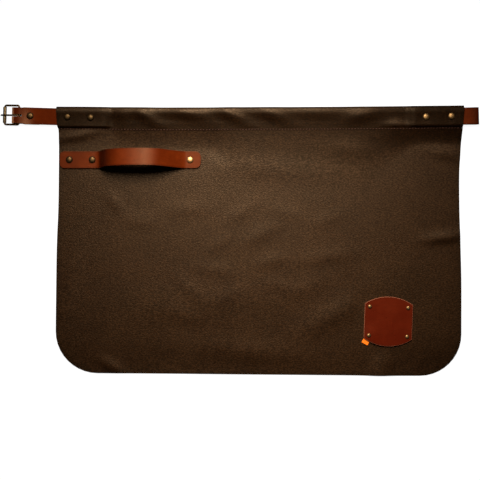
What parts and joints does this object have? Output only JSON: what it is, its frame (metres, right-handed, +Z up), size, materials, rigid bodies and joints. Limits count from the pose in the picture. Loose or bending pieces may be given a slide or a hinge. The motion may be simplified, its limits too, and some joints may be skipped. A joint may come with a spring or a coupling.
{
  "type": "leather waist apron",
  "caption": "Leather waist apron lying flat: hemmed panel with rounded lower corners, buckled waist strap, folded belt strap, riveted towel loop and bowed leather patch.",
  "frame": {"origin": "centre of the outline on the surface the apron lies on", "axes": "+X to the right of the front along the waist, +Y towards the waist fold, +Z up out of the front"},
  "size_m": [0.7089, 0.4025, 0.0378],
  "materials": {
    "panel_leather": "oiled, fine pebbled grain",
    "strap_leather": "smooth waxed bridle leather",
    "patch_leather": "smooth, raw cut edge",
    "tab_ribbon": "woven ribbon",
    "antique_brass": "antiqued, worn bright on the crowns"
  },
  "bodies": {
    "apron": {"apron_panel": "panel_leather", "buckle_strap": "strap_leather", "belt_strap": "strap_leather", "towel_loop": "strap_leather", "leather_patch": "patch_leather", "patch_tab": "tab_ribbon", "hem_rivet_1": "antique_brass", "hem_rivet_2": "antique_brass", "hem_rivet_3": "antique_brass", "hem_rivet_4": "antique_brass", "strap_rivet": "antique_brass", "loop_rivet_1": "antique_brass", "loop_rivet_2": "antique_brass", "loop_rivet_3": "antique_brass", "patch_rivet_1": "antique_brass", "patch_rivet_2": "antique_brass", "patch_rivet_3": "antique_brass", "patch_rivet_4": "antique_brass"},
    "buckle_frame": {"buckle_frame": "antique_brass"},
    "buckle_prong": {"buckle_prong": "antique_brass"},
    "buckle_roller": {"buckle_roller": "antique_brass"}
  },
  "joints": [
    {"name": "frame_swing", "type": "hinge", "parent": "apron", "child": "buckle_frame", "pos_m": [-0.32688, 0.18408, 0.0056], "axis": [0.0297, 0.9996, 0], "range_deg": [0, 60]},
    {"name": "prong_lift", "type": "hinge", "parent": "buckle_frame", "child": "buckle_prong", "pos_m": [-0.32688, 0.18408, 0.0056], "axis": [0.0297, 0.9996, 0], "range_deg": [0, 40]},
    {"name": "roller_spin", "type": "hinge", "parent": "buckle_frame", "child": "buckle_roller", "pos_m": [-0.34866, 0.18473, 0.0026], "axis": [0.0297, 0.9996, 0], "continuous": true}
  ]
}
